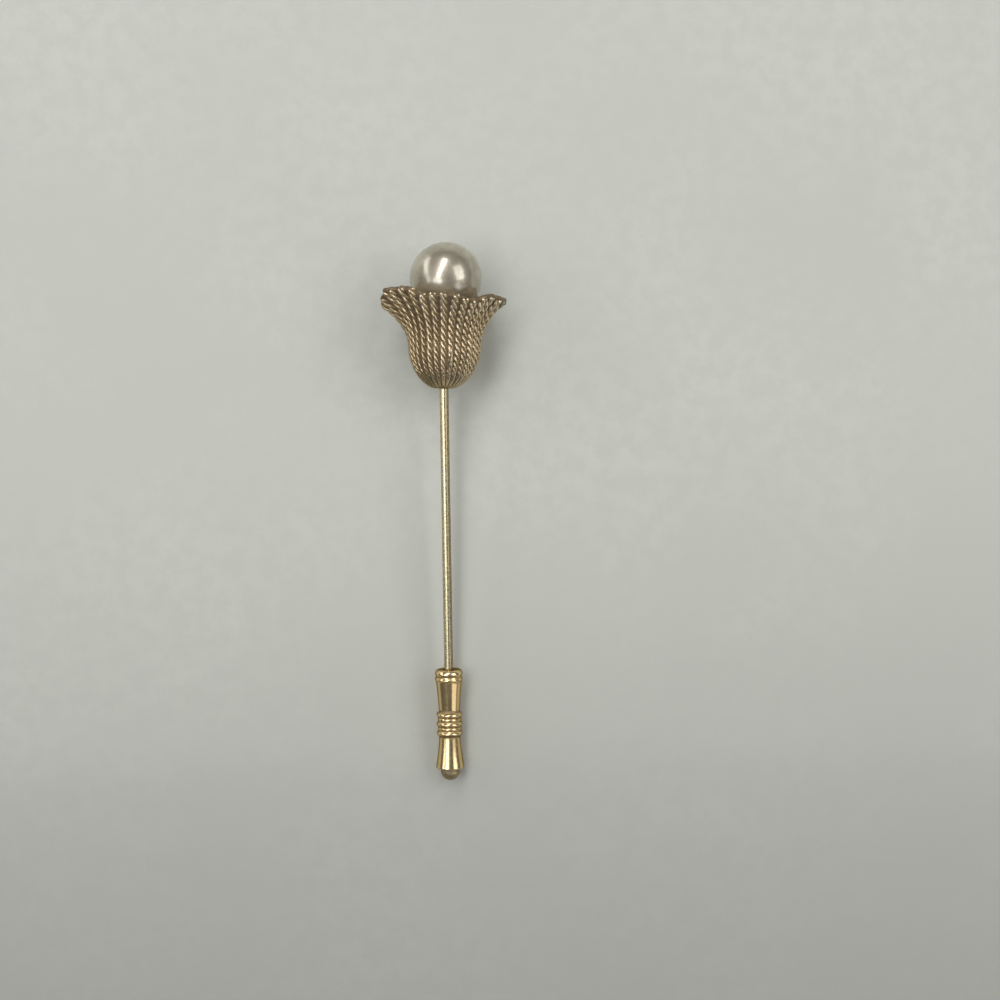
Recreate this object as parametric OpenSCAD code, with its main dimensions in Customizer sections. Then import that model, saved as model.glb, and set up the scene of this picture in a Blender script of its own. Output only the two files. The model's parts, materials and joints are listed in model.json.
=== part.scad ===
// Stick pin lying on a table: a pearl in a flower cup of rope wires, a long wire stem with a
// ground point, and a turned clutch pushed over the point.
// Lengths are in millimetres. +Y runs along the pin towards the pearl and +Z is up.
// Each piece is drawn upright first: its own Z axis is the pin's axis, with zero at the cup's base.
// Azimuth is measured round that axis from the side that faces up on the table.

/* [Pearl] */
// Diameter of the pearl
pearl_d = 9; // [7:0.1:10]
// Height of the pearl's centre above the cup's rim
pearl_rise = 1.9; // [1:0.1:3.5]
// Diameter of the post inside the cup and the pearl
post_d = 0.9; // [0.7:0.05:1]
// How far the post reaches past the pearl's centre
post_reach = 1.5; // [0.5:0.1:2.5]

/* [Flower cup] */
// Height of the cup's rim above its base
cup_h = 11.5; // [10:0.1:14]
// Radius of the wall at a plain petal's rim
rim_r = 7.4; // [6.5:0.1:8.5]
// Radius of the wall where the bowl turns into the flare
bowl_r = 4.1; // [3.6:0.05:4.8]
// Height of that place above the base
bowl_h = 4.75; // [4:0.05:6]
// Radius of the flat hub that the wires run into
hub_r = 0.95; // [0.8:0.05:1.3]
// Thickness of the wall behind the wires
cup_wall = 0.5; // [0.4:0.05:0.8]
// Number of rope wires
rope_count = 30; // [25:1:35]
// Largest diameter of a rope wire, reached at the rim
rope_d = 1.05; // [0.8:0.05:1.2]
// Sideways lean of the cup and pearl on the stem, in degrees
head_lean = 2; // [0:0.1:3]

/* [Stem] */
// Diameter of the stem wire
stem_d = 1.1; // [1:0.05:1.4]
// Length of wire that shows between the cup and the clutch
stem_l = 35.3; // [25:0.1:45]
// Length of the ground point inside the clutch
point_l = 10.5; // [8:0.1:11]
// Diameter of the wire where the long grind turns into the point
grind_d = 0.8; // [0.6:0.05:0.95]

/* [Clutch] */
// Length of the clutch
clutch_l = 14.15; // [13.5:0.05:16]
// Diameter of the bead below the collar, the clutch's thickest place
bead_d = 3.5; // [3.2:0.02:3.8]
// Distance from the mouth to the bead
bead_z = 1.25; // [1:0.05:1.4]
// Thickness of the bead
bead_w = 0.44; // [0.4:0.02:0.6]
// Radius of the round collar at the mouth
collar_round = 0.55; // [0.3:0.05:0.7]
// Diameter of the upper and lower barrels at their narrow ends
waist_d = 2.6; // [2.4:0.02:2.8]
// Diameter of the three raised rings
ring_d = 3.26; // [3:0.02:3.5]
// Thickness of a ring
ring_w = 0.52; // [0.4:0.02:0.6]
// Distance from one ring to the next
ring_pitch = 1.17; // [1.1:0.01:1.3]
// Distance from the mouth to the first ring
ring_z = 5.75; // [5:0.05:6]
// Diameter of the lower barrel at its foot
foot_d = 3.56; // [3.1:0.02:3.8]
// Distance from the mouth to the foot
foot_z = 12.6; // [12:0.05:12.8]
// Radius of the foot's rounded edge
foot_round = 0.2; // [0.1:0.05:0.3]
// Diameter of the round end
dome_d = 2.36; // [2:0.02:2.6]

/* [Gaps] */
// Gap round the post in the cup and the pearl
post_gap = 0.06; // [0.04:0.01:0.1]
// Gap round the stem in the clutch
clutch_gap = 0.06; // [0.04:0.01:0.1]
// Gap between faces that meet end to end
end_gap = 0.05; // [0.03:0.01:0.1]

/* [Hidden] */
$fn = 96;

// The rim, one row for each petal's tip and each dip between petals.
// Columns: azimuth in degrees, reach as a share of rim_r, rise as a share of cup_h, and the
// angle in degrees by which the wires lean outwards there.
AZ = 0;
REACH = 1;
RISE = 2;
FLARE = 3;
RIM = [
    [2, 0.95, 0.985, 48],
    [34, 0.82, 0.93, 34],
    [58, 0.90, 0.975, 48],
    [84, 0.985, 0.94, 57],
    [113, 0.80, 0.89, 36],
    [146, 1.02, 0.96, 52],
    [180, 0.77, 0.89, 34],
    [214, 1.02, 0.94, 54],
    [238, 0.85, 0.85, 46],
    [264, 1.05, 0.88, 60],
    [292, 1.04, 1.02, 54],
    [318, 0.94, 1.04, 42],
    [338, 0.86, 0.97, 36]
];

// Exponent of the bowl's curve: 1 is an ellipse, and more is more pointed
bowl_exponent = 1.176;
// How far the flare's curve follows the bowl's and the rim's direction, as shares of its height
flare_start = 0.45;
flare_end = 0.40;
// Fullness of a wire's end at the rim: 1 is a half circle
rope_end = 0.8;

// Points across one rope wire, and rows along the bowl, the flare, the rim and the inside
rope_point_count = 4;
bowl_row_count = 7;
flare_row_count = 9;
rim_row_count = 3;
inner_row_count = 8;
columns = rope_count * rope_point_count;

// Places along the pin's axis
pearl_z = cup_h + pearl_rise;
post_top = pearl_z + post_reach;
mouth_z = -stem_l;
hole_r = post_d / 2 + post_gap;

// The clutch's bore, with room past the point
bore_r = stem_d / 2 + clutch_gap;
bore_l = point_l + 4 * end_gap;
foot_top = foot_z - foot_round;
dome_r = dome_d / 2;

// Small offsets of the clutch's turned outline: how far the collar, the groove below it and the
// upper barrel lie inside the bead, how far the bands lie inside the rings, and how far the
// barrels' sides are hollowed
collar_inset = 0.02;
groove_inset = 0.15;
barrel_inset = 0.12;
band_inset = 0.13;
band_round = 0.3;
barrel_gap = 0.12;
upper_hollow = 0.03;
lower_hollow = 0.06;
// Half the angle in degrees that a bead, ring or band's arc takes up, the angle below the
// horizontal at which the collar's arc ends, and the steps of each arc
bead_angle = 52;
ring_angle = 60;
band_angle = 45;
collar_angle = 5;
arc_step_count = 8;

function mix(a, b, t) = a + (b - a) * t;
// Rises from 0 to 1 with no slope at either end
function ease(t) = (1 - cos(180 * t)) / 2;

// One column of the rim's table at an azimuth, eased between the rows on either side
function rim_value(azimuth, column) =
    let (a = azimuth < RIM[0][AZ] ? azimuth + 360 : azimuth)
    let (last = len(RIM) - 1)
    let (i = max([for (k = [0:last]) RIM[k][AZ] <= a ? k : 0]))
    let (j = i == last ? 0 : i + 1)
    let (end = RIM[j][AZ] + (j == 0 ? 360 : 0))
    mix(RIM[i][column], RIM[j][column], ease((a - RIM[i][AZ]) / (end - RIM[i][AZ])));

// Each point of a profile is its radius and its height, [x, y]. The bowl's curve runs from the
// hub, at t = 0, to its widest place, at t = 1: a superellipse.
function bowl_point(t) =
    [
        mix(hub_r, bowl_r, pow(sin(90 * t), bowl_exponent)),
        bowl_h * (1 - pow(cos(90 * t), bowl_exponent))
    ];

// The flare's curve from the bowl to the rim: a cubic that starts upright and ends at the
// rim's own lean
function flare_point(t, azimuth) =
    let (end = [rim_r * rim_value(azimuth, REACH), cup_h * rim_value(azimuth, RISE)])
    let (lean = rim_value(azimuth, FLARE))
    let (tall = end.y - bowl_h)
    let (p0 = [bowl_r, bowl_h])
    let (p1 = [bowl_r, bowl_h + flare_start * tall])
    let (p2 = end - flare_end * tall * [sin(lean), cos(lean)])
    pow(1 - t, 3) * p0 + 3 * t * pow(1 - t, 2) * p1 + 3 * t * t * (1 - t) * p2 + pow(t, 3) * end;

// The wall's outer face at u: 0 is the hub, 1 is the top of the bowl, and 2 is the rim
function wall_point(u, azimuth) = u <= 1 ? bowl_point(u) : flare_point(u - 1, azimuth);

// The direction of the wall at u, towards the rim
function wall_along(u, azimuth) =
    let (step = 0.02)
    let (d = wall_point(min(u + step, 2), azimuth) - wall_point(max(u - step, 0), azimuth))
    d / norm(d);

// The direction out of the wall at u
function wall_out(u, azimuth) = let (d = wall_along(u, azimuth)) [d.y, -d.x];

// How far a rope wire stands out of the wall: a half circle, no wider than its share of the way
// round
function relief(column, r) =
    let (pitch = 2 * PI * r / rope_count)
    let (rope_r = min(rope_d, pitch) / 2)
    let (across = (column % rope_point_count) / rope_point_count)
    let (off = pitch * (across > 0.5 ? across - 1 : across))
    sqrt(max(0, rope_r * rope_r - off * off));

function outer_point(u, column) =
    let (azimuth = 360 * column / columns)
    let (p = wall_point(u, azimuth))
    p + relief(column, p.x) * wall_out(u, azimuth);

function inner_point(u, column) =
    let (azimuth = 360 * column / columns)
    wall_point(u, azimuth) - cup_wall * wall_out(u, azimuth);

// The round end of a wire at the rim, turned from the outer face to the inner one
function rim_point(turn, column) =
    let (azimuth = 360 * column / columns)
    let (a = outer_point(2, column))
    let (b = inner_point(2, column))
    let (half = norm(a - b) / 2)
    (a + b) / 2 + cos(turn) * (a - b) / 2 + sin(turn) * rope_end * half * wall_along(2, azimuth);

// One closed run of profile points: up the outside, over the rim, down the inside and the hole
function cup_profile(column) = [
    [hole_r, 0],
    for (i = [0:bowl_row_count]) outer_point(i / bowl_row_count, column),
    for (i = [1:flare_row_count]) outer_point(1 + i / flare_row_count, column),
    for (i = [1:rim_row_count]) rim_point(180 * i / (rim_row_count + 1), column),
    for (i = [0:inner_row_count]) inner_point(2 - 2 * i / inner_row_count, column),
    [hole_r, cup_wall]
];
cup_row_count = len(cup_profile(0));

// A profile point set round the axis, and then leant with the head
function place(p, azimuth) =
    let (x = p.x * sin(azimuth))
    [x * cos(head_lean) + p.y * sin(head_lean),
     -p.x * cos(azimuth),
     p.y * cos(head_lean) - x * sin(head_lean)];

CUP_POINTS = [
    for (c = [0:columns - 1])
        for (p = cup_profile(c))
            place(p, 360 * c / columns)
];

function corner(c, i) = (c % columns) * cup_row_count + i % cup_row_count;
CUP_FACES = [
    for (c = [0:columns - 1])
        for (i = [0:cup_row_count - 1])
            for (face = [
                [corner(c, i), corner(c, i + 1), corner(c + 1, i + 1)],
                [corner(c, i), corner(c + 1, i + 1), corner(c + 1, i)]
            ]) face
];

// The pin lies on two lower petals and the foot of the clutch. This is the angle at which a
// cup's point and the foot's rounded edge touch one flat surface.
foot_centre = [foot_d / 2 - foot_round, stem_l + foot_top];
function rest_angle(p) =
    let (down = p.y - foot_centre.x)
    let (away = p.z + foot_centre.y)
    atan2(down, away) - asin(foot_round / norm([down, away]));
tilt = max([for (p = CUP_POINTS) rest_angle(p)]);

// Where the lying pin's box has its middle and its lowest side
left = min([for (p = CUP_POINTS) p.x]);
right = max([for (p = CUP_POINTS) p.x]);
head_end = pearl_z * cos(head_lean) * cos(tilt) + pearl_d / 2;
tail_end = -(stem_l + clutch_l - dome_r) * cos(tilt) - dome_r;
lowest = -foot_centre.y * sin(tilt) - foot_centre.x * cos(tilt) - foot_round;

module lay_down() {
    translate([-(left + right) / 2, -(head_end + tail_end) / 2, -lowest])
        rotate([tilt - 90, 0, 0])
            children();
}

// Points of an arc in a profile, from one angle to another
function arc(centre, r, from, to) = [
    for (i = [0:arc_step_count])
        let (a = mix(from, to, i / arc_step_count))
        centre + r * [cos(a), sin(a)]
];

// A hollow-sided barrel from one radius and height to another, as profile points
function barrel(start, end, bend) = [
    for (i = [0:arc_step_count])
        let (t = i / arc_step_count)
        [mix(start.x, end.x, t) - bend * sin(180 * t), mix(start.y, end.y, t)]
];

// A raised round of the clutch, as profile points: its outside radius, distance below the mouth,
// own radius and half angle
function bulge(outer_r, z, r, side) = arc([outer_r - r, -z], r, side, -side);
function ring(z) = bulge(ring_d / 2, z, ring_w / 2, ring_angle);
function band(z) = bulge(ring_d / 2 - band_inset, z, band_round, band_angle);

module stem() {
    color([0.86, 0.78, 0.58])
        lay_down() {
            rotate_extrude()
                polygon([
                    [0, -end_gap],
                    [stem_d / 2, -end_gap],
                    [stem_d / 2, mouth_z],
                    [grind_d / 2, mouth_z - point_l / 2],
                    [0, mouth_z - point_l]
                ]);
            rotate([0, head_lean, 0])
                translate([0, 0, -stem_d])
                    cylinder(d = post_d, h = post_top + stem_d);
        }
}

module flower_cup() {
    color([0.66, 0.55, 0.38])
        lay_down()
            polyhedron(points = CUP_POINTS, faces = CUP_FACES);
}

module pearl() {
    color([0.80, 0.78, 0.70])
        lay_down()
            rotate([0, head_lean, 0])
                difference() {
                    translate([0, 0, pearl_z])
                        sphere(d = pearl_d);
                    translate([0, 0, pearl_z - pearl_d])
                        cylinder(r = hole_r, h = pearl_d + post_reach + end_gap);
                }
}

// The clutch's outline from the mouth to its round end, with heights below the mouth
waist_z = ring_z - ring_w / 2 - barrel_gap;
lower_z = ring_z + 2 * ring_pitch + ring_w / 2 + barrel_gap;
collar_end = collar_round * (1 + sin(collar_angle));
bead_start = bead_z - bead_w / 2 * sin(bead_angle);
groove_z = (collar_end + bead_start) / 2;
CLUTCH_SIDE = concat(
    [[0, 0]],
    arc([bead_d / 2 - collar_inset - collar_round, -collar_round], collar_round, 90, -collar_angle),
    [[bead_d / 2 - groove_inset, -groove_z]],
    bulge(bead_d / 2, bead_z, bead_w / 2, bead_angle),
    barrel([bead_d / 2 - barrel_inset, -bead_z - bead_w / 2], [waist_d / 2, -waist_z], upper_hollow),
    ring(ring_z),
    band(ring_z + ring_pitch / 2),
    ring(ring_z + ring_pitch),
    band(ring_z + 1.5 * ring_pitch),
    ring(ring_z + 2 * ring_pitch),
    barrel([waist_d / 2, -lower_z], [foot_d / 2, -foot_top], lower_hollow),
    arc([foot_d / 2 - foot_round, -foot_top], foot_round, 0, -90),
    [[dome_r, -foot_z]],
    arc([0, dome_r - clutch_l], dome_r, 0, -90)
);

module clutch() {
    color([0.80, 0.68, 0.38])
        lay_down()
            translate([0, 0, mouth_z])
                difference() {
                    rotate_extrude()
                        polygon(CLUTCH_SIDE);
                    translate([0, 0, -bore_l])
                        cylinder(r = bore_r, h = bore_l + stem_d);
                }
}

stem();
flower_cup();
pearl();
clutch();
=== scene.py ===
"""Looks of a stick pin: a pearl in a flared cup of twisted rope wires, a long worn wire with a
ground point, and a turned clutch. The pin lies on a pale table.

The pieces are worked out in millimetres in the pin's own upright frame: its Z axis is the wire,
with zero at the cup's base and the pearl above. lie_down() then puts them where the packed
model has them, in metres.
"""
import json
import math
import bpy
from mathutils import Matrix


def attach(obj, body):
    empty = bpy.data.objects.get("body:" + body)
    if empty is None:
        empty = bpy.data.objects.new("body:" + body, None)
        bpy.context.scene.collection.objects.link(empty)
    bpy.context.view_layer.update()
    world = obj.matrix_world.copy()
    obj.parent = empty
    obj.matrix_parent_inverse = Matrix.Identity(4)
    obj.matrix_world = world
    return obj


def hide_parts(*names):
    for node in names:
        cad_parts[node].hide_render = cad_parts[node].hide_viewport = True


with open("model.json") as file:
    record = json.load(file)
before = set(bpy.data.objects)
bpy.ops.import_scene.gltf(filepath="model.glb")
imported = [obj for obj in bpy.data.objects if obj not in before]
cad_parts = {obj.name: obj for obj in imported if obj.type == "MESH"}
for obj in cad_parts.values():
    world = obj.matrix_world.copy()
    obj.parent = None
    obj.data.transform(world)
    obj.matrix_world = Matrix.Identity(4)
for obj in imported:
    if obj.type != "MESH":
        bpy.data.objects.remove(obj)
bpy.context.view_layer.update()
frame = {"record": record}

from types import SimpleNamespace

import bpy
import numpy as np
from mathutils import Matrix, Vector
from bpy.props import FloatProperty, FloatVectorProperty, IntProperty, PointerProperty

bl_info = {
    "name": "Stick pin",
    "version": (1, 0, 0),
    "blender": (4, 5, 0),
    "location": "3D View > Sidebar > Stick pin",
    "description": "A pearl stick pin with a rope wire cup and a turned clutch",
    "category": "Add Mesh",
}

MM = 0.001
END_GAP = 0.05
PIN = "pin"
CLUTCH = "clutch"

# Where the packed model has the pin: the mount lies on the free wire, END_GAP short of the cup
WIRE = next(m for m in frame["record"]["mounts"] if m["name"] == "pin_wire")
UP_THE_PIN = -np.array(WIRE["axis"], float)
UP_THE_PIN /= np.linalg.norm(UP_THE_PIN)
FREE_WIRE = WIRE["dims"]["length_mm"]
WIRE_D = 2 * WIRE["dims"]["r_mm"]
CUP_BASE = np.array(WIRE["pos_m"]) + (FREE_WIRE / 2 + END_GAP) * MM * UP_THE_PIN
TILT = math.atan2(UP_THE_PIN[2], UP_THE_PIN[1])
SLIDE = frame["record"]["behaviour"]["joints"][0]["range_m"][1]

# The cup's rim, one row for each petal's tip and each dip between petals. Columns: azimuth in
# degrees from the side that faces up, reach as a share of the rim's radius, rise as a share of
# the cup's height, and the angle in degrees by which the wires lean outwards there.
REACH = 1
RISE = 2
FLARE = 3
RIM = np.array([
    [2, 0.95, 0.985, 48],
    [34, 0.82, 0.93, 34],
    [58, 0.90, 0.975, 48],
    [84, 0.985, 0.94, 57],
    [113, 0.80, 0.89, 36],
    [146, 1.02, 0.96, 52],
    [180, 0.77, 0.89, 34],
    [214, 1.02, 0.94, 54],
    [238, 0.85, 0.85, 46],
    [264, 1.05, 0.88, 60],
    [292, 1.04, 1.02, 54],
    [318, 0.94, 1.04, 42],
    [338, 0.86, 0.97, 36],
])

# Exponent of the bowl's curve, and how far the flare's curve follows the bowl's and the rim's
# direction, as shares of the flare's height
BOWL_EXPONENT = 1.176
FLARE_START = 0.45
FLARE_END = 0.40

# The middle of the rim's front, in degrees from the back, and its spread in square degrees
FRONT_AT = 167
FRONT_SPREAD = 3400

# How far a strand's centre lies from its rope's middle and how thick it is, as shares of the
# rope's radius, where the rope is plain and where it is twisted
SWING = (0.12, 0.54)
THICK = (0.86, 0.46)
# The rope whose twist is filled with solder low on the cup's front
FILLED_ROPE = 1
# How many rows of points a rope has, the angles in degrees of the rings that round off its end,
# and how far that end reaches at the back and at the front, as shares of the strand's radius
ROPE_ROWS = 172
END_RINGS = (25.0, 50.0, 72.0)
END_REACH = (0.72, 1.4)

# How far in front of the ropes' middle the solder stands in the bowl and at the rim, as shares
# of a rope's radius, and how deep the cup's inside lies, as a share of the wall's thickness
SOLDER_FRONT = (0.28, 0.34)
SOLDER_BACK = 0.84
WALL_ROWS = 70

# Sockets of Blender's Mix node when it mixes colours
MIX_A = 6
MIX_B = 7
MIX_RESULT = 2


def length(name, description, default, **more):
    """A property that holds a length, given in millimetres and kept in metres."""
    return FloatProperty(
        name=name, description=description, default=default * MM, unit="LENGTH",
        subtype="DISTANCE", precision=5, **more,
    )


def colour(name, description, default):
    """A property that holds a surface colour."""
    return FloatVectorProperty(
        name=name, description=description, default=default, size=3, min=0, max=1,
        subtype="COLOR",
    )


class CupSizes(bpy.types.PropertyGroup):
    """Sizes of the flower cup"""

    cup_h: length("Cup height", "Height of a plain rim above the base", 11.5)
    rim_r: length("Rim radius", "Radius of the wall at a plain petal's rim", 7.4)
    bowl_r: length("Bowl radius", "Radius where the bowl turns into the flare", 4.1)
    bowl_h: length("Bowl height", "Height of that place above the base", 4.75)
    hub_r: length("Hub radius", "Radius that the wires run into", 0.95)
    hole_r: length("Hole radius", "Radius of the hole round the post", 0.51)
    wall: length("Wall", "Thickness of the wall behind the wires", 0.5)
    lip: length("Lip", "How far the solder reaches past the wires' ends", 0.27)
    rope_d: length("Rope diameter", "Largest diameter of a rope wire", 1.05)
    rope_count: IntProperty(name="Ropes", description="Rope wires side by side", default=30)
    crest_gap: FloatProperty(
        name="Twist", description="Gap between a rope's crests, as a share of its width",
        default=0.86, subtype="FACTOR",
    )
    slowest: length("Slowest twist", "Least gap between crests, near the base", 0.66)
    head_lean: FloatProperty(
        name="Lean", description="Sideways lean of the cup and pearl on the wire",
        default=math.radians(2), unit="ROTATION", subtype="ANGLE",
    )


class PearlSizes(bpy.types.PropertyGroup):
    """Sizes of the pearl"""

    pearl_d: length("Diameter", "Diameter of the pearl", 9.0)
    pearl_rise: length("Rise", "Height of its centre above the cup's rim", 1.9)
    dent: length("Unevenness", "How far the lacquer sinks at most in a dent", 0.012)
    chip: length("Chip depth", "How deep the worn places are", 0.02)


class WireSizes(bpy.types.PropertyGroup):
    """Sizes of the stem wire"""

    stem_d: length("Diameter", "Diameter of the stem wire", WIRE_D)
    stem_l: length("Shown length", "Wire between cup and clutch", FREE_WIRE + END_GAP)
    point_l: length("Point", "Length of the ground point", 10.5)
    grind_d: length("Grind", "Diameter where the long grind turns into the point", 0.8)
    post_d: length("Post", "Diameter of the post in the cup and pearl", 0.9)
    post_reach: length("Post reach", "How far the post goes past the pearl's centre", 1.5)
    wave: length("Unevenness", "Depth of the wire's fine dings", 0.006)


class ClutchSizes(bpy.types.PropertyGroup):
    """Sizes of the clutch"""

    clutch_l: length("Length", "Length of the clutch", 14.144)
    bead_d: length("Bead diameter", "Thickest place, below the collar", 3.5)
    bead_z: length("Bead place", "Distance from the mouth to the bead", 1.25)
    bead_w: length("Bead thickness", "Thickness of the bead", 0.44)
    collar_round: length("Collar round", "Radius of the round collar", 0.55)
    waist_d: length("Waist", "Diameter of the barrels at their narrow ends", 2.6)
    ring_d: length("Ring diameter", "Diameter of the raised rings", 3.26)
    ring_w: length("Ring thickness", "Thickness of a ring", 0.52)
    ring_pitch: length("Ring pitch", "Distance from one ring to the next", 1.17)
    ring_z: length("Ring place", "Distance from the mouth to the first ring", 5.75)
    foot_d: length("Foot diameter", "Diameter of the lower barrel at its foot", 3.56)
    foot_z: length("Foot place", "Distance from the mouth to the foot", 12.6)
    foot_round: length("Foot round", "Radius of the foot's edge", 0.2)
    dome_d: length("Dome diameter", "Diameter of the round end", 2.36)
    gap: length("Gap", "Gap round the wire in the bore", 0.06)
    wave: length("Unevenness", "Depth of the fine dings", 0.0006)


class Finishes(bpy.types.PropertyGroup):
    """Colours of the finishes"""

    rope_gold: colour("Rope gold", "Plating on the ropes' crests", (0.70, 0.56, 0.35))
    # This brown also paints shade: along the wire's right side and in the clutch's grooves.
    rope_brown: colour("Rope brown", "Toned plating in the ropes' hollows", (0.31, 0.23, 0.13))
    rope_copper: colour("Rope copper", "Redder blotches on the ropes", (0.47, 0.34, 0.25))
    # Besides ropes with darker toning, this colour paints the shade on the cup's left side.
    rope_shade: colour("Rope shade", "Ropes that have toned darkest", (0.36, 0.275, 0.165))
    rope_edge: colour("Rope edge", "Tint of the cup seen edge on", (0.60, 0.46, 0.26))
    solder_dark: colour("Solder", "Solder between the ropes", (0.165, 0.12, 0.075))
    solder_light: colour("Solder lumps", "Lighter lumps in the solder", (0.24, 0.18, 0.115))
    lining: colour("Lining", "Cleaner plating inside the cup", (0.84, 0.70, 0.46))
    # Near the rim on the right of the cup, this pale colour is partly painted light.
    worn_pale: colour("Worn pale", "Pale metal where the plating has worn", (0.90, 0.80, 0.62))
    tarnish: colour("Tarnish", "Green-grey spot on one petal", (0.20, 0.24, 0.19))
    wire_gold: colour("Wire gold", "Plating of the stem wire", (0.69, 0.60, 0.37))
    wire_edge: colour("Wire edge", "Tint of the wire seen edge on", (0.15, 0.11, 0.05))
    point_metal: colour("Point", "Bare metal of the ground point", (0.72, 0.68, 0.58))
    clutch_gold: colour("Clutch gold", "Plating of the clutch", (0.89, 0.655, 0.335))
    clutch_copper: colour("Clutch copper", "Redder blotches on the clutch", (0.88, 0.62, 0.33))
    clutch_dull: colour("Clutch dull", "Dulled metal of the round end", (0.40, 0.33, 0.22))
    clutch_edge: colour("Clutch edge", "Tint of the clutch seen edge on", (0.16, 0.11, 0.05))
    pearl_cream: colour("Pearl cream", "Light lacquer of the pearl", (0.52, 0.47, 0.37))
    pearl_grey: colour("Pearl grey", "Darker, thin lacquer of the pearl", (0.33, 0.285, 0.205))
    pearl_core: colour("Pearl core", "Brown under the lacquer", (0.24, 0.17, 0.10))
    table: colour("Table", "The pale table top", (0.58, 0.59, 0.53))


class StageSettings(bpy.types.PropertyGroup):
    """Camera and lights"""

    camera_x: length("Camera X", "Sideways place of the camera", 6.62)
    camera_y: length("Camera Y", "Place of the camera along the pin", 1.692)
    camera_z: length("Camera height", "Height of the camera above the table", 224.0)
    frame_w: length("Frame", "Width that the view takes in", 125.0)
    focus_z: length("Frame height", "Height at which that width is measured", 4.0)
    turn: FloatProperty(
        name="Turn", description="Turn of the camera about the vertical",
        default=math.radians(-0.81), unit="ROTATION", subtype="ANGLE",
    )
    light: FloatProperty(name="Light", description="Strength of the studio light", default=1.0)
    fill: FloatProperty(name="Fill", description="Strength of the room's light", default=0.13)
    room: colour("Room", "Colour of the room's light", (0.85, 0.89, 0.93))


SETTINGS = {
    "stick_pin_cup": CupSizes,
    "stick_pin_pearl": PearlSizes,
    "stick_pin_wire": WireSizes,
    "stick_pin_clutch": ClutchSizes,
    "stick_pin_finishes": Finishes,
    "stick_pin_stage": StageSettings,
}


def sizes_of(group):
    """A group's lengths in millimetres, and its other numbers as they are, by name."""
    found = {}
    for name, made in type(group).__annotations__.items():
        value = getattr(group, name)
        found[name] = value / MM if made.keywords.get("unit") == "LENGTH" else value
    return SimpleNamespace(**found)


# Surfaces


def mix(a, b, t):
    """The value a share t of the way from a to b."""
    return a + (b - a) * t


def smooth_step(x, low, high):
    """Rises from 0 at low to 1 at high with no slope at either end."""
    t = np.clip((x - low) / (high - low), 0, 1)
    return t * t * (3 - 2 * t)


def waves(points, terms):
    """Fixed unevenness from -1 to 1: the mean of sines, each of one direction's distance."""
    total = sum(np.sin(points @ np.array(way) + start) for way, start in terms)
    return total / len(terms)


def sink(points, depth, terms, least):
    """Sinks a turned surface towards its axis by fixed unevenness, by no more than the depth.
    Nearer to the axis than least, the sinking dies away."""
    sunk = depth * (0.5 - 0.5 * waves(points, terms))
    far = np.hypot(points[:, 0], points[:, 1])
    points[:, :2] *= (1 - sunk / np.maximum(far, least))[:, None]


def lie_down(points, lean=0.0):
    """Turns upright millimetres into the lying pin's metres: x stays, y points away from the
    viewer above it, and z runs up the pin, which tilts by TILT. Before that, the cup, the pearl
    and the post lean sideways about the Y axis."""
    x, y, z = np.moveaxis(points, -1, 0)
    x, z = x * math.cos(lean) + z * math.sin(lean), z * math.cos(lean) - x * math.sin(lean)
    world = np.stack([
        x,
        z * math.cos(TILT) + y * math.sin(TILT),
        z * math.sin(TILT) - y * math.cos(TILT),
    ], axis=-1)
    return CUP_BASE + world * MM


def tube_faces(rings, around, copies=1):
    """Faces of tubes of so many rings that a pole closes at either end. A tube's points are its
    first pole, its rings and its last pole, and each copy's points follow the one before."""
    ring = 1 + np.arange(rings * around).reshape(rings, around)
    after = np.roll(ring, -1, axis=1)
    quads = np.stack([ring[:-1], after[:-1], after[1:], ring[1:]], axis=-1).reshape(-1, 4)
    first = np.zeros(around, int)
    last = np.full(around, 1 + rings * around)
    fans = np.concatenate([
        np.stack([first, after[0], ring[0]], axis=-1),
        np.stack([ring[-1], after[-1], last], axis=-1),
    ])
    shift = (np.arange(copies) * (2 + rings * around))[:, None, None]
    return (quads[None] + shift).reshape(-1, 4), (fans[None] + shift).reshape(-1, 3)


def turn_profile(radius, height, around):
    """A profile turned round the Z axis. The point at azimuth a is radius times (sin a, -cos a)
    at its height. The profile's two end points lie on the axis and become the poles."""
    a = 2 * np.pi * np.arange(around) / around
    circle = np.stack([np.sin(a), -np.cos(a), np.zeros(around)], axis=-1)
    rings = radius[1:-1, None, None] * circle
    rings[..., 2] += height[1:-1, None]
    poles = np.array([[0, 0, height[0]], [0, 0, height[-1]]])
    return np.concatenate([poles[:1], rings.reshape(-1, 3), poles[1:]])


def on_rings(profile_values, around):
    """One value of a turned profile's points, repeated round each ring."""
    return np.concatenate([
        profile_values[:1],
        np.repeat(profile_values[1:-1], around),
        profile_values[-1:],
    ])


def new_object(name, data):
    """Makes an object from a mesh, a light or a camera, and puts it in the scene."""
    made = bpy.data.objects.new(name, data)
    bpy.context.scene.collection.objects.link(made)
    return made


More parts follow.
